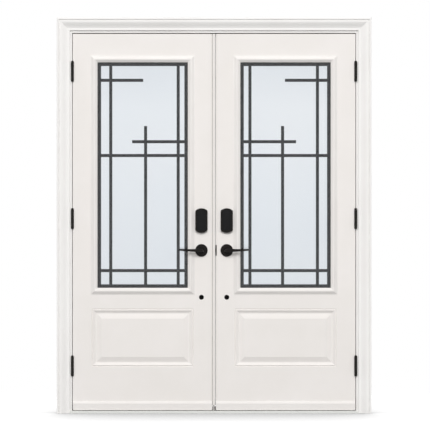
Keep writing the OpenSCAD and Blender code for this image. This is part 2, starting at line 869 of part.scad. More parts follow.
// Cover with a bevelled front; a front cover has a shallow recess for its touch panel
module lock_cover(front) {
    color(steel_black) difference() {
        translate([lock_x, 0, lock_z]) hull() {
            towards_front(cover_d - cover_bevel) cover_outline(0);
            towards_front(cover_d) cover_outline(cover_bevel);
        }
        if (front)
            translate([lock_x, cover_recess - cover_d, lock_z])
                towards_front(cover_recess + past) cover_outline(cover_bevel + cover_rim);
        children();
    }
}

module rosette() {
    edge_t = 3;
    color(steel_black) translate([lock_x, 0, lever_z]) rotate([90, 0, 0]) rotate_extrude() polygon([
        [hub_r + slide_clear, 0], [rosette_r, 0], [rosette_r, edge_t],
        [rosette_r - edge_t, rosette_t - edge_t], [rosette_r - 3 * edge_t, rosette_t],
        [hub_r + slide_clear, rosette_t]
    ]);
}

module rosettes() {
    rosette();
    on_back() rosette();
}

// Plug with a low domed cap
module bore_plug() {
    rim_t = 0.6;
    dome_h = 1.6;
    color("#0a0806") {
        translate([lock_x, 0, plug_z]) rotate([90, 0, 0]) rotate_extrude() polygon(concat(
            [[0, 0], [plug_r, 0]],
            arc(0, rim_t, plug_r, dome_h, 0, 80),
            [[0, rim_t + dome_h]]
        ));
        bar_y(lock_x, plug_z, plug_r - 1.6, 0, 10);
    }
}

// Turned hub and a tapered arm that points to the hinges
module lever_body() {
    neck_r = hub_r - 2.5;
    flat = 0.75;
    bar_y(lock_x, lever_z, hub_r, -rosette_t - 8, -1);
    bar_y(lock_x, lever_z, neck_r, -lever_off, -rosette_t);
    hull() {
        translate([lock_x, -lever_off, lever_z]) scale([1.1, flat, 1]) sphere(lever_root_r + 1.5, $fn = 32);
        translate([lock_x + lever_len / 2, -lever_off - 2, lever_z + lever_rise / 3])
            scale([1, flat, 1]) sphere((lever_root_r + lever_tip_r) / 2, $fn = 24);
    }
    hull() {
        translate([lock_x + lever_len / 2, -lever_off - 2, lever_z + lever_rise / 3])
            scale([1, flat, 1]) sphere((lever_root_r + lever_tip_r) / 2, $fn = 24);
        translate([lock_x + lever_len - lever_tip_r, -lever_off, lever_z + lever_rise])
            scale([1, flat, 1]) sphere(lever_tip_r, $fn = 24);
    }
}

module spindle(w, y0, y1) {
    box([lock_x - w / 2, y0, lever_z - w / 2], [lock_x + w / 2, y1, lever_z + w / 2]);
}

module front_lever() {
    color(steel_black) {
        lever_body();
        spindle(spindle_w, -rosette_t, leaf_t + rosette_t + 4);
    }
}

module back_lever() {
    color(steel_black) difference() {
        on_back() lever_body();
        spindle(spindle_w + slide_clear, 0, leaf_t + rosette_t + 5);
    }
}

// Pieces of the meeting edge

module astragal() {
    z0 = sill_z + boot_gap + boot_h;
    color(white) difference() {
        translate([0, 0, z0]) linear_extrude(leaf_z1 - z0) polygon(concat(
            [[-half_meet, seam_d], [seam_w - half_meet, seam_d], [seam_w - half_meet, 0]],
            arc(nose_x - nose_round, nose_round, nose_round, nose_round, -90, 0),
            arc(nose_x - nose_round, leaf_t - nose_round, nose_round, nose_round, 0, 90),
            [[-half_meet, leaf_t]]
        ));
        for (z = [lever_z, lock_z]) {
            bar_x(mid_y, z, edge_r, -half_meet - past, nose_x);
            box([nose_x - edge_plate_t, mid_y - edge_plate_w / 2, z - edge_plate_h / 2],
                [nose_x + past, mid_y + edge_plate_w / 2, z + edge_plate_h / 2]);
        }
    }
}

// Waisted block that closes the space below the astragal
module astragal_boot() {
    z0 = sill_z + boot_gap;
    inset = 1;
    color("gray") translate([0, leaf_t - inset, z0 + boot_h / 2])
        towards_front(leaf_t - 2 * inset) polygon(concat(
            arc(-half_meet, 0, boot_waist, boot_h / 2, -90, 90),
            arc(nose_x, 0, -boot_waist, boot_h / 2, 90, -90)
        ));
}

// Plate on a meeting edge, from x0 towards positive x
module edge_plate(x0, z) {
    difference() {
        box([x0, mid_y - edge_plate_w / 2, z - edge_plate_h / 2],
            [x0 + edge_plate_t, mid_y + edge_plate_w / 2, z + edge_plate_h / 2]);
        for (side = [-1, 1])
            bar_x(mid_y, z + side * edge_plate_h * 0.38, edge_hole_r, x0 - past, x0 + edge_plate_t + past);
    }
}

module latch_hole(x0, x1) {
    hole_w = latch_w / 2 + slide_clear;
    hole_h = latch_h / 2 + slide_clear;
    box([x0, mid_y - hole_w, lever_z - hole_h], [x1, mid_y + hole_w, lever_z + hole_h]);
}

module deadbolt_hole(x0, x1) {
    bar_x(mid_y, lock_z, deadbolt_r + slide_clear, x0, x1);
}

module edge_faceplates() {
    color(steel_black) {
        difference() {
            edge_plate(nose_x - edge_plate_t, lever_z);
            latch_hole(nose_x - edge_plate_t - past, nose_x + past);
        }
        difference() {
            edge_plate(nose_x - edge_plate_t, lock_z);
            deadbolt_hole(nose_x - edge_plate_t - past, nose_x + past);
        }
    }
}

// Latch: bevelled nose and the tail that the spindle draws back
module latch_bolt() {
    tip = nose_x + latch_throw;
    nose_back = nose_x - 14;
    tail_end = spindle_w + latch_throw - lock_x;
    y0 = mid_y - latch_w / 2;
    y1 = mid_y + latch_w / 2;
    color("silver") {
        translate([0, 0, lever_z - latch_h / 2]) linear_extrude(latch_h) polygon([
            [nose_back, y0], [tip, y0], [tip, y0 + 3], [nose_x + 1, y1], [nose_back, y1]
        ]);
        bar_x(mid_y, lever_z, latch_w / 3, tail_end, nose_back);
    }
}

module deadbolt() {
    chamfer = 1;
    color("silver") {
        bar_x(mid_y, lock_z, deadbolt_r, edge_r - lock_x + 5, nose_x - chamfer);
        translate([nose_x - chamfer, mid_y, lock_z]) rotate([0, 90, 0])
            cylinder(r1 = deadbolt_r, r2 = deadbolt_r - chamfer, h = chamfer);
    }
}

// Knob on the left leaf's back cover, with the spindle that drives the deadbolt
module thumb_turn() {
    face_y = leaf_t + cover_d + slide_clear;
    disc_r = 15;
    disc_t = 5;
    grip_l = 36;
    grip_w = 9;
    grip_t = 16;
    spindle_r = 3;
    color(steel_black) {
        bar_y(-lock_x, lock_z, disc_r, face_y, face_y + disc_t);
        bar_y(-lock_x, lock_z, spindle_r, mid_y, face_y);
        translate([-lock_x, face_y + disc_t + grip_t, lock_z]) towards_front(grip_t) polygon(concat(
            arc(0, (grip_l - grip_w) / 2, grip_w / 2, grip_w / 2, 0, 180),
            arc(0, (grip_w - grip_l) / 2, grip_w / 2, grip_w / 2, 180, 360)
        ));
    }
}

module thumb_hole() {
    bar_y(lock_x, lock_z, 3 + slide_clear, -leaf_t, leaf_t);
}

// Strikes of the right leaf; the latch strike has a lip that follows the sloped edge
module strike_plates() {
    lip_y = chamfer_d - lip_t * (chamfer_l - chamfer_d) / chamfer_w;
    lip_in_y = chamfer_d * (1 - lip_reach / chamfer_w);
    lip_out_y = lip_in_y - lip_t * chamfer_l / chamfer_w;
    lip_back = mid_y - edge_plate_w / 2 + 2.5;
    color(steel_black) {
        difference() {
            edge_plate(half_meet, lever_z);
            latch_hole(half_meet - past, half_meet + edge_plate_t + past);
        }
        difference() {
            edge_plate(half_meet, lock_z);
            deadbolt_hole(half_meet - past, half_meet + edge_plate_t + past);
        }
        translate([0, 0, lever_z - edge_plate_h / 2]) linear_extrude(edge_plate_h) polygon([
            [half_meet - lip_t, lip_back], [half_meet - lip_t, lip_y],
            [half_meet + lip_reach, lip_out_y], [half_meet + lip_reach, lip_in_y],
            [half_meet, chamfer_d], [half_meet, lip_back]
        ]);
    }
}

// Top and bottom bolts of the right leaf, drawn back into the lock stile

module shoot_bolt(length) {
    tip = 1;
    cylinder(r = shoot_r, h = length - tip);
    translate([0, 0, length - tip]) cylinder(r1 = shoot_r, r2 = shoot_r - tip, h = tip);
}

module top_bolt() {
    z0 = lock_z + cross_r + 2;
    color("silver") translate([shoot_x, mid_y, z0]) shoot_bolt(leaf_z1 - 1 - z0);
}

module bottom_bolt() {
    z1 = lever_z - cross_r - 3;
    color("silver") translate([shoot_x, mid_y, z1]) mirror([0, 0, 1]) shoot_bolt(z1 - leaf_z0 - 1);
}

on_left() side_jamb();  // left_jamb
side_jamb();  // right_jamb
head_jamb();
on_left() side_casing();  // left_casing
side_casing();  // right_casing
head_casing();
sill();
sill_seal();
on_left() side_weatherstrip();  // left_weatherstrip
side_weatherstrip();  // right_weatherstrip
head_weatherstrip();
union() {  // jamb_hinge_leaves
    jamb_hinges();
    on_left() jamb_hinges();
}
union() {  // hinge_pins
    pins();
    on_left() pins();
}
on_left() skin(true) edge_bores();  // left_front_skin
on_left() on_back() skin(false) edge_bores();  // left_back_skin
on_left() core();  // left_core
on_left() hinge_stile();  // left_hinge_stile
on_left() lock_stile() edge_bores();  // left_lock_stile
on_left() rails();  // left_rails
on_left() lite_frame();  // left_front_lite_frame
on_left() on_back() lite_frame();  // left_back_lite_frame
on_left() panes();  // left_panes
on_left() spacer();  // left_spacer
on_left() grille();  // left_grille
on_left() drip_strip();  // left_drip_strip
on_left() leaf_hinges();  // left_hinge_leaves
on_left() lock_cover(true);  // left_front_lock_cover
on_left() on_back() lock_cover(false) thumb_hole();  // left_back_lock_cover
on_left() rosettes();  // left_rosettes
on_left() bore_plug();  // left_bore_plug
on_left() front_lever();  // left_front_lever
on_left() back_lever();  // left_back_lever
skin(true) strike_seats();  // right_front_skin
on_back() skin(false) strike_seats();  // right_back_skin
core();  // right_core
hinge_stile();  // right_hinge_stile
lock_stile() {  // right_lock_stile
    strike_seats();
    strike_pockets();
    shoot_bores();
}
rails();  // right_rails
lite_frame();  // right_front_lite_frame
on_back() lite_frame();  // right_back_lite_frame
panes();  // right_panes
spacer();  // right_spacer
grille();  // right_grille
drip_strip();  // right_drip_strip
leaf_hinges();  // right_hinge_leaves
lock_cover(true);  // right_front_lock_cover
on_back() lock_cover(false);  // right_back_lock_cover
rosettes();  // right_rosettes
bore_plug();  // right_bore_plug
front_lever();  // right_front_lever
back_lever();  // right_back_lever
astragal();
astragal_boot();
edge_faceplates();
latch_bolt();
deadbolt();
thumb_turn();
strike_plates();
top_bolt();
bottom_bolt();
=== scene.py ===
import math

import bmesh
import bpy
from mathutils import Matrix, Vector


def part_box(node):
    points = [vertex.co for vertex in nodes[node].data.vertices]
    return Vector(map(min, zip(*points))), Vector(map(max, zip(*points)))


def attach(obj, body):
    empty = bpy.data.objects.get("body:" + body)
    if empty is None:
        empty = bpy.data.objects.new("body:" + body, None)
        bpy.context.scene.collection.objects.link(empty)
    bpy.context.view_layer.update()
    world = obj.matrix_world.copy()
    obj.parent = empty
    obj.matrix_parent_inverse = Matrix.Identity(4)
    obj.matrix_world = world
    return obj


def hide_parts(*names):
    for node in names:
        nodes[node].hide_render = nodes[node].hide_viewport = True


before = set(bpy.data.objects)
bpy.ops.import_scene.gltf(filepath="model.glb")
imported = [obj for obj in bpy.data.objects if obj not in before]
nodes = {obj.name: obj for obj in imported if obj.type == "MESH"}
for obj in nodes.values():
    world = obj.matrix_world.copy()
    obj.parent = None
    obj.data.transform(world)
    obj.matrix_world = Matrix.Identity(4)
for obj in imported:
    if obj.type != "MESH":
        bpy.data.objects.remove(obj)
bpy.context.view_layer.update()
scene = bpy.context.scene
scene.view_settings.view_transform = "Standard"

MM = 0.001
SIDES = ("left_", "right_")
SHARP_ANGLE = math.radians(38)
PANE_THICKNESS = 3.2 * MM
PANE_EDGE = 0.6 * MM


def rgb(r, g, b):
    """Linear colour with full alpha, from sRGB values of 0 to 255."""
    def lin(c):
        c = c / 255.0
        return c / 12.92 if c <= 0.04045 else ((c + 0.055) / 1.055) ** 2.4
    return (lin(r), lin(g), lin(b), 1.0)


# Materials

class Mat:
    """A node material with small helpers that chain texture nodes."""

    def __init__(self, name):
        self.material = bpy.data.materials.new(name)
        self.material.use_nodes = True
        self.tree = self.material.node_tree
        self.tree.nodes.clear()
        out = self.tree.nodes.new("ShaderNodeOutputMaterial")
        self.shader = self.tree.nodes.new("ShaderNodeBsdfPrincipled")
        self.tree.links.new(self.shader.outputs[0], out.inputs["Surface"])
        self.coord = self.tree.nodes.new("ShaderNodeTexCoord").outputs["Object"]

    def link(self, a, b):
        self.tree.links.new(a, b)

    def put(self, **values):
        for key, value in values.items():
            self.shader.inputs[key.replace("_", " ")].default_value = value
        return self

    def scaled(self, sx, sy, sz):
        n = self.tree.nodes.new("ShaderNodeMapping")
        n.inputs["Scale"].default_value = (sx, sy, sz)
        self.link(self.coord, n.inputs["Vector"])
        return n.outputs[0]

    def noise(self, scale, detail=3.0, rough=0.5, vector=None):
        n = self.tree.nodes.new("ShaderNodeTexNoise")
        n.inputs["Scale"].default_value = scale
        n.inputs["Detail"].default_value = detail
        n.inputs["Roughness"].default_value = rough
        self.link(vector or self.coord, n.inputs["Vector"])
        return n.outputs["Fac"]

    def wave(self, scale, axis, distortion, detail, vector):
        n = self.tree.nodes.new("ShaderNodeTexWave")
        n.bands_direction = axis
        n.inputs["Scale"].default_value = scale
        n.inputs["Distortion"].default_value = distortion
        n.inputs["Detail"].default_value = detail
        self.link(vector, n.inputs["Vector"])
        return n.outputs["Fac"]

    def ramp(self, fac, stops):
        n = self.tree.nodes.new("ShaderNodeValToRGB")
        ramp = n.color_ramp
        while len(ramp.elements) < len(stops):
            ramp.elements.new(0.5)
        for e, (pos, col) in zip(ramp.elements, stops):
            e.position = pos
            e.color = col
        self.link(fac, n.inputs["Fac"])
        return n.outputs["Color"]

    def span(self, fac, low, high, from_low=0.0, from_high=1.0):
        n = self.tree.nodes.new("ShaderNodeMapRange")
        n.inputs["From Min"].default_value = from_low
        n.inputs["From Max"].default_value = from_high
        n.inputs["To Min"].default_value = low
        n.inputs["To Max"].default_value = high
        self.link(fac, n.inputs["Value"])
        return n.outputs[0]

    def feed(self, sockets, values):
        for socket, value in zip(sockets, values):
            if isinstance(value, bpy.types.NodeSocket):
                self.link(value, socket)
            else:
                socket.default_value = value

    def mix(self, fac, a, b, kind="MIX"):
        n = self.tree.nodes.new("ShaderNodeMix")
        n.data_type = "RGBA"
        n.blend_type = kind
        self.feed((n.inputs[0], n.inputs[6], n.inputs[7]), (fac, a, b))
        return n.outputs[2]

    def math(self, kind, a, b):
        n = self.tree.nodes.new("ShaderNodeMath")
        n.operation = kind
        self.feed(n.inputs, (a, b))
        return n.outputs[0]

    def axis(self, which):
        n = self.tree.nodes.new("ShaderNodeSeparateXYZ")
        self.link(self.coord, n.inputs[0])
        return n.outputs[which]

    def colour(self, socket):
        self.link(socket, self.shader.inputs["Base Color"])

    def rough(self, socket):
        self.link(socket, self.shader.inputs["Roughness"])

    def bump(self, height, strength, distance, normal=None):
        n = self.tree.nodes.new("ShaderNodeBump")
        n.inputs["Strength"].default_value = strength
        n.inputs["Distance"].default_value = distance
        self.link(height, n.inputs["Height"])
        if normal is not None:
            self.link(normal, n.inputs["Normal"])
        self.link(n.outputs[0], self.shader.inputs["Normal"])
        return n.outputs[0]


def paint_steel(name, low_tone, high_tone):
    # Factory paint on sheet: faint mottling and a fine orange peel
    m = Mat(name).put(Specular_IOR_Level=0.26)
    broad = m.noise(3.5, 4, 0.55)
    m.colour(m.ramp(broad, [(0.30, rgb(*low_tone)), (0.70, rgb(*high_tone))]))
    m.rough(m.span(m.noise(60, 3), 0.36, 0.48))
    peel = m.bump(m.noise(900, 2, 0.5), 0.08, 0.0004)
    m.bump(broad, 0.05, 0.004, peel)
    return m.material


def paint_frame(name, along, low_tone, high_tone):
    # Painted timber: brush marks run along the member
    m = Mat(name).put(Specular_IOR_Level=0.4)
    stretch = [140.0, 140.0, 140.0]
    stretch["xyz".index(along)] = 2.5
    brush = m.noise(1.0, 4, 0.6, m.scaled(*stretch))
    broad = m.noise(4.0, 3, 0.5)
    m.colour(m.ramp(broad, [(0.3, rgb(*low_tone)), (0.7, rgb(*high_tone))]))
    m.rough(m.span(brush, 0.38, 0.52))
    m.bump(brush, 0.10, 0.0006)
    return m.material


def plastic_white():
    # Moulded surround: satin with a fine leathery grain
    m = Mat("lite_plastic").put(Specular_IOR_Level=0.32)
    broad = m.noise(6.0, 3, 0.5)
    m.colour(m.ramp(broad, [(0.3, rgb(237, 233, 230)), (0.7, rgb(240, 237, 234))]))
    m.rough(m.span(m.noise(140, 3), 0.34, 0.44))
    m.bump(m.noise(1400, 3, 0.6), 0.06, 0.0003)
    return m.material


def wood():
    # Softwood: rings and fine grain that run up the piece
    m = Mat("stile_wood").put(Specular_IOR_Level=0.3)
    rings = m.wave(1.3, "X", 6.0, 4, m.scaled(30, 30, 1.6))
    fine = m.noise(9.0, 5, 0.7, m.scaled(60, 60, 1.2))
    base = m.ramp(rings, [(0.0, rgb(190, 150, 104)), (0.55, rgb(214, 178, 132)),
                          (1.0, rgb(170, 126, 82))])
    m.colour(m.mix(m.span(fine, 0.0, 0.5), base, rgb(146, 104, 66), "MULTIPLY"))
    m.rough(m.span(fine, 0.55, 0.75))
    m.bump(fine, 0.2, 0.0006)
    return m.material


def foam():
    # Core foam with fine cells
    m = Mat("foam").put(Specular_IOR_Level=0.2)
    cells = m.noise(420, 2, 0.6)
    m.colour(m.ramp(cells, [(0.35, rgb(214, 196, 140)), (0.65, rgb(236, 222, 176))]))
    m.rough(m.span(cells, 0.8, 0.95))
    m.bump(cells, 0.5, 0.001)
    return m.material


def black_metal(name, tone, low, high, gloss=0.08, grain=0.16):
    # Powder coat or moulded black: a fine speckle and a faint cloudiness
    m = Mat(name).put(Specular_IOR_Level=gloss)
    broad = m.noise(9, 4, 0.6)
    dark = tuple(int(c * 0.90) for c in tone)
    m.colour(m.ramp(broad, [(0.3, rgb(*dark)), (0.7, rgb(*tone))]))
    speck = m.noise(1600, 2, 0.5)
    m.rough(m.span(m.noise(300, 3), low, high))
    m.bump(speck, grain, 0.0003)
    return m.material


def bare_metal(name, low_tone, high_tone, stretch, low, high):
    # Brushed or drawn metal: long fine streaks
    m = Mat(name).put(Metallic=1.0)
    streak = m.noise(1.0, 5, 0.65, m.scaled(*stretch))
    m.colour(m.ramp(streak, [(0.25, rgb(*low_tone)), (0.75, rgb(*high_tone))]))
    m.rough(m.span(streak, low, high))
    m.bump(streak, 0.08, 0.0003)
    return m.material


def rubber(name, low_tone, high_tone):
    # Extruded or moulded rubber: matt, with a fine grain
    m = Mat(name).put(Specular_IOR_Level=0.3)
    n = m.noise(260, 4, 0.6)
    m.colour(m.ramp(n, [(0.3, rgb(*low_tone)), (0.7, rgb(*high_tone))]))
    m.rough(m.span(n, 0.6, 0.8))
    m.bump(m.noise(900, 2), 0.2, 0.0004)
    return m.material


def sill_metal():
    # Extruded tread with a pale mill finish
    m = Mat("sill_metal").put(Metallic=0.35, Specular_IOR_Level=0.5)
    streak = m.noise(1.0, 5, 0.65, m.scaled(2.0, 420, 420))
    broad = m.noise(7.0, 3, 0.5)
    base = m.ramp(streak, [(0.25, rgb(230, 231, 227)), (0.75, rgb(240, 241, 238))])
    m.colour(m.mix(m.span(broad, 0.0, 0.10), base, rgb(196, 194, 188)))
    m.rough(m.span(streak, 0.34, 0.5))
    m.bump(streak, 0.08, 0.0003)
    return m.material


def clear_glass():
    # Outer pane: clear, with a barely uneven tint
    m = Mat("pane_clear").put(Transmission_Weight=1.0, IOR=1.45, Roughness=0.0, Specular_IOR_Level=0.25)
    streak = m.noise(1.6, 2, 0.4)
    m.colour(m.ramp(streak, [(0.3, rgb(246, 249, 252)), (0.7, rgb(249, 251, 253))]))
    return m.material


def satin_glass():
    # Inner pane: etched, with a fine grain and a cool tint, and painted light and shade that make it
    # lightest in its upper half, darker at its top edge and towards the bottom
    m = Mat("pane_satin").put(Transmission_Weight=1.0, IOR=1.45, Specular_IOR_Level=0.25)
    low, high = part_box("left_panes")
    # Painted light and shade by height: lightest high up, darker at the top edge under the surround and
    # towards the bottom; a faint random cloudiness is added
    height = m.span(m.axis("Z"), 0.0, 1.0, low[2], high[2])
    painted_light_and_cloud = m.math("ADD", height, m.span(m.noise(1.2, 3, 0.5), -0.06, 0.06))
    m.colour(m.ramp(painted_light_and_cloud, [(0.0, rgb(231, 234, 237)), (0.4, rgb(237, 240, 243)),
                            (0.8, rgb(242, 244, 246)), (1.0, rgb(233, 236, 239))]))
    m.rough(m.span(m.noise(500, 3), 0.40, 0.50))
    m.bump(m.noise(1200, 2), 0.06, 0.0002)
    return m.material


def touch_glass():
    # Blank, dark and smooth panel of the lock covers
    m = Mat("touch_glass").put(Specular_IOR_Level=0.17)
    n = m.noise(30, 3)
    m.colour(m.ramp(n, [(0.3, rgb(14, 14, 15)), (0.7, rgb(20, 20, 21))]))
    m.rough(m.span(m.noise(90, 4), 0.10, 0.22))
    return m.material


leaf_paint = paint_steel("leaf_paint", (237, 233, 229), (241, 237, 234))
drip_paint = paint_steel("drip_paint", (234, 230, 227), (237, 234, 231))
frame_v = paint_frame("frame_paint_upright", "z", (242, 240, 238), (245, 244, 242))
frame_h = paint_frame("frame_paint_cross", "x", (242, 240, 238), (245, 244, 242))
# Side jambs: the frame paint made darker, painted shade of their recess behind the casing and of the
# gap beside the leaves
jamb_painted_shade = paint_frame("frame_paint_jamb_painted_shade", "z", (231, 229, 227), (234, 233, 231))
lite_plastic = plastic_white()
stile_wood = wood()
foam_mat = foam()
black = black_metal("hardware_black", (26, 24, 23), 0.46, 0.60, 0.16)
hinge_black = black_metal("hinge_black", (32, 30, 28), 0.42, 0.56, 0.14)
grille_grey = black_metal("grille_metal", (26, 29, 32), 0.50, 0.56, 0.08, 0.02)
plug_black = black_metal("plug_plastic", (5, 4, 4), 0.50, 0.62)
spacer_metal = bare_metal("spacer_metal", (168, 170, 172), (196, 198, 200), (6, 300, 6), 0.30, 0.45)
bolt_steel = bare_metal("bolt_steel", (178, 176, 170), (206, 204, 198), (8, 420, 420), 0.22, 0.38)
rod_steel = bare_metal("rod_steel", (178, 176, 170), (206, 204, 198), (420, 420, 8), 0.22, 0.38)
screw_steel = bare_metal("screw_steel", (44, 42, 40), (66, 63, 60), (160, 160, 160), 0.35, 0.5)
seal_dark = rubber("weatherstrip", (34, 32, 30), (46, 43, 40))
seam_grey = rubber("seam_seal", (140, 137, 133), (154, 151, 147))
boot_grey = rubber("boot_rubber", (184, 181, 178), (194, 191, 188))
sill_mat = sill_metal()
glass_clear = clear_glass()
glass_satin = satin_glass()
touch = touch_glass()


def set_mat(obj, mat):
    obj.data.materials.clear()
    obj.data.materials.append(mat)


by_node = {
    "left_jamb": jamb_painted_shade, "right_jamb": jamb_painted_shade, "head_jamb": frame_h,
    "left_casing": frame_v, "right_casing": frame_v, "head_casing": frame_h,
    "sill": sill_mat, "sill_seal": seal_dark,
    "left_weatherstrip": seal_dark, "right_weatherstrip": seal_dark, "head_weatherstrip": seal_dark,
    "jamb_hinge_leaves": hinge_black, "hinge_pins": hinge_black,
    "astragal": leaf_paint, "astragal_boot": boot_grey, "edge_faceplates": black,
    "latch_bolt": bolt_steel, "deadbolt": bolt_steel, "thumb_turn": black,
    "strike_plates": black, "top_bolt": rod_steel, "bottom_bolt": rod_steel,
}
for side in SIDES:
    by_node.update({
        side + "front_skin": leaf_paint, side + "back_skin": leaf_paint, side + "core": foam_mat,
        side + "hinge_stile": stile_wood, side + "lock_stile": stile_wood, side + "rails": stile_wood,
        side + "front_lite_frame": lite_plastic, side + "back_lite_frame": lite_plastic,
        side + "panes": glass_clear, side + "spacer": spacer_metal, side + "grille": grille_grey,
        side + "drip_strip": drip_paint, side + "hinge_leaves": hinge_black,
        side + "front_lock_cover": black, side + "back_lock_cover": black,
        side + "rosettes": black, side + "bore_plug": plug_black,
        side + "front_lever": black, side + "back_lever": black,
    })
for name, mat in by_node.items():
    set_mat(nodes[name], mat)
missing = sorted(set(nodes) - set(by_node))
assert not missing, missing


# Pieces

def new_piece(name, bm, body, mat, stands_for=(), smooth=True):
    """Turn a bmesh into a piece that rides on a body and may stand for CAD nodes."""
    mesh = bpy.data.meshes.new(name)
    bmesh.ops.recalc_face_normals(bm, faces=bm.faces)
    bm.to_mesh(mesh)
    bm.free()
    obj = bpy.data.objects.new(name, mesh)
    scene.collection.objects.link(obj)
    for p in mesh.polygons:
        p.use_smooth = smooth
    if smooth:
        mesh.set_sharp_from_angle(angle=SHARP_ANGLE)
    set_mat(obj, mat)
    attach(obj, body)
    if stands_for:
        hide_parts(*stands_for)


def block(bm, low, high, edge):
    """A box with small chamfers, joined to what is already in bm."""
    part = bmesh.new()
    bmesh.ops.create_cube(part, size=1.0)
    low, high = Vector(low), Vector(high)
    bmesh.ops.scale(part, vec=high - low, verts=part.verts)
    bmesh.ops.translate(part, vec=(low + high) / 2, verts=part.verts)
    bmesh.ops.bevel(part, geom=part.edges[:], offset=edge, segments=1, affect="EDGES")
    mesh = bpy.data.meshes.new("block")
    part.to_mesh(mesh)
    part.free()
    bm.from_mesh(mesh)
    bpy.data.meshes.remove(mesh)


def pane(side, y0, y1, mat, name):
    """One sheet of glass with a fine chamfer, between two depths."""
    low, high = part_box(side + "panes")
    bm = bmesh.new()
    block(bm, (low[0], y0, low[2]), (high[0], y1, high[2]), PANE_EDGE)
    new_piece(name, bm, side + "leaf", mat, (side + "panes",), smooth=False)


for side in SIDES:
    low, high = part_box(side + "panes")
    pane(side, low[1], low[1] + PANE_THICKNESS, glass_clear, side + "pane_front")
    pane(side, high[1] - PANE_THICKNESS, high[1], glass_satin, side + "pane_back")


def loft(bm, rings, closed=False):
    """Skin a row of rings of equal length; a closed row joins its last ring to the first."""
    made = [[bm.verts.new(p) for p in ring] for ring in rings]
    n = len(made[0])
    pairs = list(zip(made, made[1:] + made[:1])) if closed else list(zip(made, made[1:]))
    for a, b in pairs:
        for i in range(n):
            j = (i + 1) % n
            bm.faces.new((a[i], a[j], b[j], b[i]))
    if not closed:
        bm.faces.new(list(reversed(made[0])))
        bm.faces.new(made[-1])


def strip(name, body, mat, stations):
    """Upright strip: a profile in plan at each height, skinned from one to the next."""
    bm = bmesh.new()
    loft(bm, [[(x, y, z) for x, y in profile] for profile, z in stations])
    new_piece(name, bm, body, mat, smooth=False)


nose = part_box("astragal")[1][0]
low_z, high_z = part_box("astragal")[0][2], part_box("astragal")[1][2]


def bulb(proud):
    """Half-round bead on the astragal's nose, in plan."""
    root = nose - 0.4 * MM
    mid, half, steps = 9.2, 3.0, 8
    points = [(root, (mid - half) * MM)]
    for i in range(steps + 1):
        a = math.pi * i / steps
        points.append((nose + proud * math.sin(a), (mid - half * math.cos(a)) * MM))
    points.append((root, (mid + half) * MM))
    return points


# Seal that closes the gap to the right leaf; it is thinner beside the strike's lip
full, thin = bulb(proud=2.2 * MM), bulb(proud=1.5 * MM)
lip_height = 57 * MM
lip_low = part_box("strike_plates")[0][2]
lip_high = lip_low + lip_height
ease = 0.5 * MM
strip("meeting_seal", "left_leaf", seal_dark,
      [(full, low_z), (full, lip_low - ease), (thin, lip_low), (thin, lip_high),
       (full, lip_high + ease), (full, high_z)])

# Bead deep in the seam between the astragal and the left leaf
seam_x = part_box("astragal")[0][0]
bead = [(seam_x + u * MM, v * MM)
        for u, v in ((0.1, 7.2), (2.4, 7.2), (2.4, 5.8), (1.2, 5.0), (0.1, 5.8))]
strip("seam_seal", "left_leaf", seam_grey, [(bead, low_z), (bead, high_z)])


def circle(n):
    """Points of a unit circle."""
    return [(math.cos(2 * math.pi * i / n), math.sin(2 * math.pi * i / n)) for i in range(n)]


leaf_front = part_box("left_front_skin")[0][1]
leaf_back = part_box("left_back_skin")[1][1]


def depth(y, back):
    """Depth measured out from the leaf's front face, or from its back face."""
    return leaf_back - y * MM if back else leaf_front + y * MM


def lever(side, back):
    """Turned hub, bent neck and a tapered arm that sweeps out to a round tip; sizes in mm."""
    node = side + ("back_lever" if back else "front_lever")
    low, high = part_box(node)
    way = -1.0 if side == "left_" else 1.0
    hub_r = 11
    hub_x = (high[0] - hub_r * MM) if way < 0 else (low[0] + hub_r * MM)
    hub_z = low[2] + hub_r * MM
    reach = (high[0] - low[0]) / MM - hub_r
    neck_end, neck_r, bend = -33, 8.4, 13.0
    arm_y, arm_tall, arm_thick = -46, 9.3, 6.9
    arm_bow, arm_rise = 2.2, 3.5
    tip_tall, tip_thick, tip_least = 4.4, 3.4, 0.03
    tip_long = tip_tall * 0.98
    arm_end = reach - tip_long
    # Stations: distance along the arm, depth, rise, half height, half thickness, direction
    row = [(0, y, 0, r, r, (0, -1)) for y, r in (
        (-1, hub_r), (-9, hub_r), (-16.6, hub_r), (-17.6, 10.7), (-18.1, 10.0), (-18.6, 9.2),
        (-20, 8.7), (-24, 8.5), (neck_end, neck_r))]
    bend_steps, arm_steps, tip_steps = 8, 14, 6
    for i in range(1, bend_steps + 1):
        t = i / bend_steps
        a = math.pi / 2 * t
        row.append((bend * (1 - math.cos(a)), neck_end - bend * math.sin(a), 0,
                    neck_r + (arm_tall - neck_r) * t, neck_r + (arm_thick - neck_r) * t,
                    (math.sin(a), -math.cos(a))))
    for i in range(1, arm_steps + 1):
        t = i / arm_steps
        row.append((bend + (arm_end - bend) * t, arm_y - arm_bow * math.sin(math.pi * t),
                    arm_rise * t * t, arm_tall + (tip_tall - arm_tall) * t ** 0.85,
                    arm_thick + (tip_thick - arm_thick) * t ** 0.8, (1, 0)))
    for i in range(1, tip_steps + 1):
        a = math.pi / 2 * i / tip_steps
        shrink = max(math.cos(a), tip_least)
        row.append((arm_end + tip_long * math.sin(a), arm_y, arm_rise,
                    tip_tall * shrink, tip_thick * shrink, (1, 0)))
    rings = []
    for u, y, rise, tall, thick, (du, dy) in row:
        ring = []
        for c, k in circle(28):
            pu, py = u + thick * k * dy, y - thick * k * du
            ring.append((hub_x + way * pu * MM, depth(py, back), hub_z + (rise + tall * c) * MM))
        rings.append(ring)
    bm = bmesh.new()
    loft(bm, rings)
    if not back:
        # Square spindle that runs on through the leaf
        half, start, edge = 4 * MM, leaf_front - 12 * MM, 0.4 * MM
        block(bm, (hub_x - half, start, hub_z - half), (hub_x + half, high[1], hub_z + half), edge)
    new_piece(side + ("lever_back" if back else "lever_front"), bm, side + "lever", black,
              (node,))


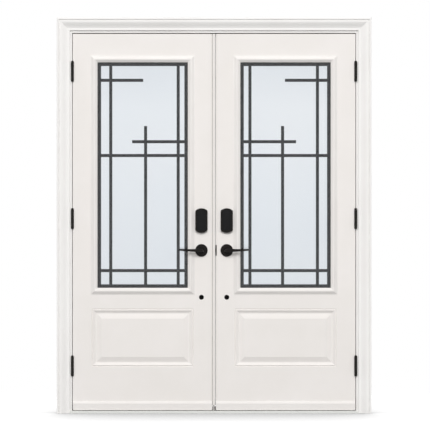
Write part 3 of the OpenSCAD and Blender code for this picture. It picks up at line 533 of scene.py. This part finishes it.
def rosettes(side):
    """Two turned roses, one on each face, open in the middle for the hub."""
    node = side + "rosettes"
    low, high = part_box(node)
    mid_x, mid_z = (low[0] + high[0]) / 2, (low[2] + high[2]) / 2
    outline = [(11.3, -0.1), (11.3, -8.8), (11.8, -9.6), (12.8, -10.0), (20, -10.0), (27.5, -9.8),
               (29.6, -9.5), (31.4, -8.7), (32.8, -7.5), (33.7, -5.9), (34.0, -4.0), (34.0, -0.1)]
    bm = bmesh.new()
    for back in (False, True):
        loft(bm, [[(mid_x + r * c * MM, depth(y, back), mid_z + r * k * MM) for c, k in circle(56)]
                  for r, y in outline], closed=True)
    new_piece(side + "roses", bm, side + "leaf", black, (node,))


def cover_outline(inset):
    """Straight sides, flat arcs at top and bottom and round corners, in mm from the centre."""
    half_w, half_h, rise, corner = 33.0, 66.0, 13.0, 10.0
    big = (half_w ** 2 + rise ** 2) / (2 * rise)
    arc_z = half_h - big
    corner_x = half_w - corner
    corner_z = arc_z + math.sqrt((big - corner) ** 2 - corner_x ** 2)
    turn = math.atan2(corner_z - arc_z, corner_x)
    quarter = []
    corner_steps, arc_steps = 6, 8
    for i in range(corner_steps + 1):
        a = turn * i / corner_steps
        quarter.append((corner_x + (corner - inset) * math.cos(a),
                        corner_z + (corner - inset) * math.sin(a)))
    for i in range(1, arc_steps + 1):
        a = turn + (math.pi / 2 - turn) * i / arc_steps
        quarter.append(((big - inset) * math.cos(a), arc_z + (big - inset) * math.sin(a)))
    top = quarter + [(-x, z) for x, z in reversed(quarter[:-1])]
    return top + [(-x, -z) for x, z in top]


def lock_cover(side):
    """Front escutcheon: rounded shoulders, a raised rim and a sunk, blank touch panel."""
    node = side + "front_lock_cover"
    low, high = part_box(node)
    mid_x, mid_z = (low[0] + high[0]) / 2, (low[2] + high[2]) / 2

    def ring(inset, y):
        return [(mid_x + x * MM, depth(y, False), mid_z + z * MM) for x, z in cover_outline(inset)]

    # Each pair is the distance in from the outline and the depth, in mm
    row = [(0, -0.1), (0, -2), (0, -9), (0, -16)]
    shoulder_y, shoulder_r, steps = -16.6, 5.4, 7
    for i in range(1, steps + 1):
        a = math.pi / 2 * i / steps
        row.append((shoulder_r * (1 - math.cos(a)), shoulder_y - shoulder_r * math.sin(a)))
    row += [(7.2, -22.0), (8.3, -21.95), (8.7, -21.7), (8.9, -21.3), (9.0, -20.8)]
    bm = bmesh.new()
    loft(bm, [ring(inset, y) for inset, y in row])
    new_piece(side + "cover_front", bm, side + "leaf", black, (node,))
    bm = bmesh.new()
    loft(bm, [ring(9.5, -20.7), ring(9.5, -21.1), ring(9.7, -21.3), ring(9.95, -21.4)])
    new_piece(side + "touch_panel", bm, side + "leaf", touch)


def screw(bm, centre, facing, r):
    """A countersunk head with a cross recess, set just under the plate's face."""
    flush, foot_depth, pit_depth = 0.15 * MM, 1.7 * MM, 1.1 * MM
    foot_share, pit_share = 0.55, 0.8

    def at(u, v, sunk):
        return bm.verts.new((centre[0] - facing * sunk, centre[1] + u, centre[2] + v))

    def loop(points):
        return [bm.edges.new((points[i], points[(i + 1) % len(points)])) for i in range(len(points))]

    disc = [(r * c, r * k) for c, k in circle(18)]
    rim = [at(u, v, flush) for u, v in disc]
    foot = [at(foot_share * u, foot_share * v, foot_depth) for u, v in disc]
    a, w = 0.62 * r, 0.15 * r
    cross = [(w, a), (w, w), (a, w), (a, -w), (w, -w), (w, -a),
             (-w, -a), (-w, -w), (-a, -w), (-a, w), (-w, w), (-w, a)]
    lip = [at(u, v, flush) for u, v in cross]
    pit = [at(pit_share * u, pit_share * v, pit_depth) for u, v in cross]
    bmesh.ops.triangle_fill(bm, use_beauty=True, edges=loop(rim) + loop(lip))
    for upper, lower in ((rim, foot), (lip, pit)):
        n = len(upper)
        for i in range(n):
            j = (i + 1) % n
            bm.faces.new((upper[i], upper[j], lower[j], lower[i]))
    bm.faces.new(foot)
    bm.faces.new(pit)


def hinge_screws(side):
    """Four screws in each hinge plate, on the leaf and on the jamb."""
    way = -1.0 if side == "left_" else 1.0
    low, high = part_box(side + "hinge_leaves")
    plate_half, gap, head_r = 51 * MM, 3 * MM, 2.3 * MM
    heights = [low[2] + plate_half, (low[2] + high[2]) / 2, high[2] - plate_half]
    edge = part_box(side + "front_skin")[0 if way < 0 else 1][0]
    jamb = edge + way * gap
    # Depth of each hole, and its height from the middle of the plate, in mm
    holes = ((12, -38.76), (12, 38.76), (24, -15.3), (24, 15.3))
    plates = ((side + "leaf", edge, way, "leaf_screws"), ("frame", jamb, -way, "jamb_screws"))
    for body, x, facing, name in plates:
        bm = bmesh.new()
        for mid in heights:
            for y, z in holes:
                screw(bm, (x, y * MM, mid + z * MM), facing, head_r)
        new_piece(side + name, bm, body, screw_steel)


def plate_screws(node, body, x, facing):
    """Two screws in each of the two edge plates."""
    low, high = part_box(node)
    plate_half, hole, head_r = 28.5 * MM, 21.66 * MM, 1.9 * MM
    y = (leaf_front + leaf_back) / 2
    bm = bmesh.new()
    for mid in (low[2] + plate_half, high[2] - plate_half):
        for z in (mid - hole, mid + hole):
            screw(bm, (x, y, z), facing, head_r)
    new_piece(node + "_screws", bm, body, screw_steel)


def sweep(side):
    """Two flexible fins below the leaf that brush the sill."""
    low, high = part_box(side + "front_skin")
    inset, depths = 4 * MM, (9.0, 35.0)
    x0, x1 = low[0] + inset, high[0] - inset
    bm = bmesh.new()
    for y in depths:
        fin = [(y - 1.6, 20.4), (y - 0.9, 17.6), (y - 2.2, 13.8), (y - 1.2, 13.6),
               (y + 0.3, 17.2), (y + 1.6, 20.4)]
        loft(bm, [[(x, v * MM, w * MM) for v, w in fin] for x in (x0, x1)])
    new_piece(side + "sweep", bm, side + "leaf", seal_dark)


def casing_profile():
    """Outer band, quirk, cap, long double curve and a low inner bead.

    Each point is mm in from the outer edge and mm proud of the wall.
    """
    points = [(0, 0), (0, 28.6), (0.4, 29.5), (1.4, 30), (10.0, 30), (10.7, 29.6), (10.9, 22.0),
              (11.8, 22.0), (12.0, 25.5), (12.8, 26.2), (14.5, 26.5), (22.5, 26.5)]
    start, top = points[-1]
    run, fall, swing, steps = 34.0, 16.0, 0.3, 14
    turn = 2 * math.pi
    for i in range(1, steps + 1):
        t = i / steps
        points.append((start + run * t, top - fall * (t - swing * math.sin(turn * t) / turn)))
    points += [(58, 10.4), (60, 10.6), (62, 10.8), (64.5, 10.9), (67, 10.8), (68.5, 10.3),
               (69.5, 9.3), (70, 8.0), (70, 0)]
    return points


def casing(node):
    """One mitred length of casing, cut at 45 degrees where it meets the next one."""
    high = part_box("head_casing")[1]
    out, top, wall = high[0], high[2], high[1]
    play = 0.1 * MM
    rings = []
    for end in (0, 1):
        ring = []
        for u, v in casing_profile():
            y = wall - v * MM
            if node == "head_casing":
                ring.append(((2 * end - 1) * (out - u * MM - play), y, top - u * MM))
            else:
                way = -1.0 if node == "left_casing" else 1.0
                ring.append((way * (out - u * MM), y, end * (top - u * MM - play)))
        rings.append(ring)
    bm = bmesh.new()
    loft(bm, rings)
    new_piece(node + "_moulding", bm, "frame", by_node[node], (node,))


def straight(start, end, steps=5):
    """Even points on a straight run, up to its end."""
    return [(start[0] + (end[0] - start[0]) * i / steps, start[1] + (end[1] - start[1]) * i / steps)
            for i in range(1, steps + 1)]


def lite_profile():
    """Slope up to a round ridge, then down to the glass: mm from the outer edge, mm proud."""
    points = [(0, 0), (0, 0.8), (0.5, 1.3), (2.2, 1.5), (2.8, 1.8)]
    points += straight(points[-1], (19.2, 13.0))
    points += [(20.2, 13.4), (21.2, 13.6), (22.2, 13.6), (23.2, 13.3), (24.2, 12.8), (25.2, 12.2)]
    points += straight(points[-1], (36.4, 5.1))
    points += [(37.2, 4.5), (37.8, 3.5), (38, 2.3), (38, -9.9), (31, -9.9), (31, 0)]
    return points


def lite_frame(side, back):
    """Moulded surround that clamps the glazed unit, in one piece with square corners."""
    node = side + ("back_lite_frame" if back else "front_lite_frame")
    low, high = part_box(node)
    rings = []
    for right, top in ((0, 0), (1, 0), (1, 1), (0, 1)):
        ring = []
        for u, v in lite_profile():
            x = high[0] - u * MM if right else low[0] + u * MM
            z = high[2] - u * MM if top else low[2] + u * MM
            ring.append((x, depth(-v, back), z))
        rings.append(ring)
    bm = bmesh.new()
    loft(bm, rings, closed=True)
    new_piece(side + ("surround_back" if back else "surround_front"), bm, side + "leaf", lite_plastic,
              (node,))


def screw_caps(side):
    """Round caps over the screws of the inner surround, seated on its outer slope."""
    low, high = (Vector(c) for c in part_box(side + "back_lite_frame"))
    inset, lift, tilt, r = 11 * MM, 7.4 * MM, math.radians(34.3), 4.4 * MM
    # Each spot has its place on the surround and the way out from the glass
    spots = []
    for t in (0.09, 0.36, 0.64, 0.91):
        z = low.z + (high.z - low.z) * t
        spots.append((Vector((low.x + inset, 0, z)), Vector((-1, 0, 0))))
        spots.append((Vector((high.x - inset, 0, z)), Vector((1, 0, 0))))
    for t in (0.28, 0.72):
        x = low.x + (high.x - low.x) * t
        spots.append((Vector((x, 0, low.z + inset)), Vector((0, 0, -1))))
        spots.append((Vector((x, 0, high.z - inset)), Vector((0, 0, 1))))
    bm = bmesh.new()
    for spot, out in spots:
        normal = out * math.sin(tilt) + Vector((0, 1, 0)) * math.cos(tilt)
        along = Vector((-out.z, 0, out.x))
        across = normal.cross(along)
        spot.y = leaf_back + lift
        rings = []
        for size, rise in ((1.0, -0.6), (1.0, 0.25), (0.93, 0.5), (0.75, 0.68), (0.4, 0.8)):
            centre = spot + normal * rise * MM
            rings.append([centre + (along * c + across * k) * r * size for c, k in circle(20)])
        loft(bm, rings)
    new_piece(side + "screw_caps", bm, side + "leaf", lite_plastic)


for side in SIDES:
    lite_frame(side, False)
    lite_frame(side, True)
    screw_caps(side)
for node in ("left_casing", "head_casing", "right_casing"):
    casing(node)
for side in SIDES:
    lever(side, False)
    lever(side, True)
    rosettes(side)
    lock_cover(side)
    hinge_screws(side)
    sweep(side)
plate_screws("edge_faceplates", "left_leaf", nose, 1.0)
plate_screws("strike_plates", "right_leaf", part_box("right_front_skin")[0][0], -1.0)


# Stage

def seen_directly(tree):
    """1 for what the camera sees straight on, through glass or in a reflection."""
    path = tree.nodes.new("ShaderNodeLightPath")
    found = path.outputs["Is Camera Ray"]
    for kind in ("Is Glossy Ray", "Is Transmission Ray"):
        most = tree.nodes.new("ShaderNodeMath")
        most.operation = "MAXIMUM"
        tree.links.new(found, most.inputs[0])
        tree.links.new(path.outputs[kind], most.inputs[1])
        found = most.outputs[0]
    return found


def floor_piece():
    """Plain floor that takes the part's shadow and fades out away from it; its glow carries a painted
    contact shade near the part.
    """
    half_size, place, tone = 3.0, (0.0, -0.1, -0.0005), rgb(128, 128, 128)
    fade_start, fade_end = 1.0, 2.6
    shade_reach, shade_samples = 0.9, 16
    open_least, open_most = 0.36, 0.97
    glow_least, glow_most = 0.24, 0.88
    bm = bmesh.new()
    bmesh.ops.create_grid(bm, x_segments=1, y_segments=1, size=half_size)
    mesh = bpy.data.meshes.new("floor")
    bm.to_mesh(mesh)
    bm.free()
    obj = bpy.data.objects.new("floor", mesh)
    scene.collection.objects.link(obj)
    mat = bpy.data.materials.new("floor")
    mat.use_nodes = True
    tree = mat.node_tree
    tree.nodes.clear()
    out = tree.nodes.new("ShaderNodeOutputMaterial")
    diffuse = tree.nodes.new("ShaderNodeBsdfDiffuse")
    diffuse.inputs["Color"].default_value = tone
    # Clear away from the part
    clear = tree.nodes.new("ShaderNodeBsdfTransparent")
    mix = tree.nodes.new("ShaderNodeMixShader")
    coord = tree.nodes.new("ShaderNodeTexCoord")
    length = tree.nodes.new("ShaderNodeVectorMath")
    length.operation = "LENGTH"
    fade = tree.nodes.new("ShaderNodeMapRange")
    fade.interpolation_type = "SMOOTHSTEP"
    fade.inputs["From Min"].default_value = fade_start
    fade.inputs["From Max"].default_value = fade_end
    tree.links.new(coord.outputs["Object"], length.inputs[0])
    tree.links.new(length.outputs["Value"], fade.inputs["Value"])
    tree.links.new(fade.outputs[0], mix.inputs[0])
    # White glow where it lies open, for what is seen directly; near the part the glow is dimmed by
    # ambient occlusion, a painted contact shade
    glow = tree.nodes.new("ShaderNodeEmission")
    shade = tree.nodes.new("ShaderNodeAmbientOcclusion")
    shade.samples = shade_samples
    shade.inputs["Distance"].default_value = shade_reach
    deepen = tree.nodes.new("ShaderNodeMapRange")
    deepen.inputs["From Min"].default_value = open_least
    deepen.inputs["From Max"].default_value = open_most
    deepen.inputs["To Min"].default_value = glow_least
    deepen.inputs["To Max"].default_value = glow_most
    tree.links.new(shade.outputs["AO"], deepen.inputs["Value"])
    tree.links.new(deepen.outputs[0], glow.inputs["Strength"])
    none = tree.nodes.new("ShaderNodeBsdfTransparent")
    none.inputs["Color"].default_value = (0.0, 0.0, 0.0, 1.0)
    seen = tree.nodes.new("ShaderNodeMixShader")
    both = tree.nodes.new("ShaderNodeAddShader")
    tree.links.new(seen_directly(tree), seen.inputs[0])
    tree.links.new(none.outputs[0], seen.inputs[1])
    tree.links.new(glow.outputs[0], seen.inputs[2])
    tree.links.new(diffuse.outputs[0], both.inputs[0])
    tree.links.new(seen.outputs[0], both.inputs[1])
    tree.links.new(both.outputs[0], mix.inputs[1])
    tree.links.new(clear.outputs[0], mix.inputs[2])
    tree.links.new(mix.outputs[0], out.inputs["Surface"])
    obj.data.materials.append(mat)
    obj.location = place


def world_light(low, high):
    """Light that grows evenly from straight below to straight above; plain white where it is seen."""
    world = bpy.data.worlds.new("studio")
    world.use_nodes = True
    tree = world.node_tree
    tree.nodes.clear()
    out = tree.nodes.new("ShaderNodeOutputWorld")
    lit = tree.nodes.new("ShaderNodeBackground")
    lit.inputs["Color"].default_value = (1.0, 0.99, 0.98, 1.0)
    coord = tree.nodes.new("ShaderNodeTexCoord")
    part = tree.nodes.new("ShaderNodeSeparateXYZ")
    level = tree.nodes.new("ShaderNodeMapRange")
    level.inputs["From Min"].default_value = -1.0
    level.inputs["To Min"].default_value = low
    level.inputs["To Max"].default_value = high
    tree.links.new(coord.outputs["Generated"], part.inputs[0])
    tree.links.new(part.outputs["Z"], level.inputs["Value"])
    tree.links.new(level.outputs[0], lit.inputs["Strength"])
    seen = tree.nodes.new("ShaderNodeBackground")
    seen.inputs["Color"].default_value = (1.0, 1.0, 1.0, 1.0)
    seen.inputs["Strength"].default_value = 1.0
    mix = tree.nodes.new("ShaderNodeMixShader")
    tree.links.new(seen_directly(tree), mix.inputs[0])
    tree.links.new(lit.outputs[0], mix.inputs[1])
    tree.links.new(seen.outputs[0], mix.inputs[2])
    tree.links.new(mix.outputs[0], out.inputs["Surface"])
    scene.world = world


def area(name, place, target, size, watts):
    """A rectangular lamp that isn't seen itself, neither directly nor in the glass."""
    light = bpy.data.lights.new(name, "AREA")
    light.shape = "RECTANGLE"
    light.size, light.size_y = size
    light.energy = watts
    obj = bpy.data.objects.new(name, light)
    scene.collection.objects.link(obj)
    obj.location = place
    direction = Vector(target) - Vector(place)
    obj.rotation_euler = direction.to_track_quat("-Z", "Y").to_euler()
    obj.visible_camera = False
    obj.visible_transmission = False
    obj.visible_glossy = False


aim = (0.0, 0.0, 1.1)
floor_piece()
world_light(low=0.0, high=0.56)
area("key", place=(0.0, -14.0, 7.8), target=aim, size=(8.0, 7.0), watts=1910.0)
area("back", place=(0.0, 10.0, 12.0), target=aim, size=(7.0, 3.4), watts=1400.0)

camera = bpy.data.cameras.new("camera")
camera.lens = 240.5
camera.sensor_width = 36.0
camera.clip_end = 100.0
eye = bpy.data.objects.new("camera", camera)
scene.collection.objects.link(eye)
eye.location = (0.005, -15.56, 1.0735)
eye.rotation_euler = (math.radians(90.0), 0.0, 0.0)
scene.camera = eye
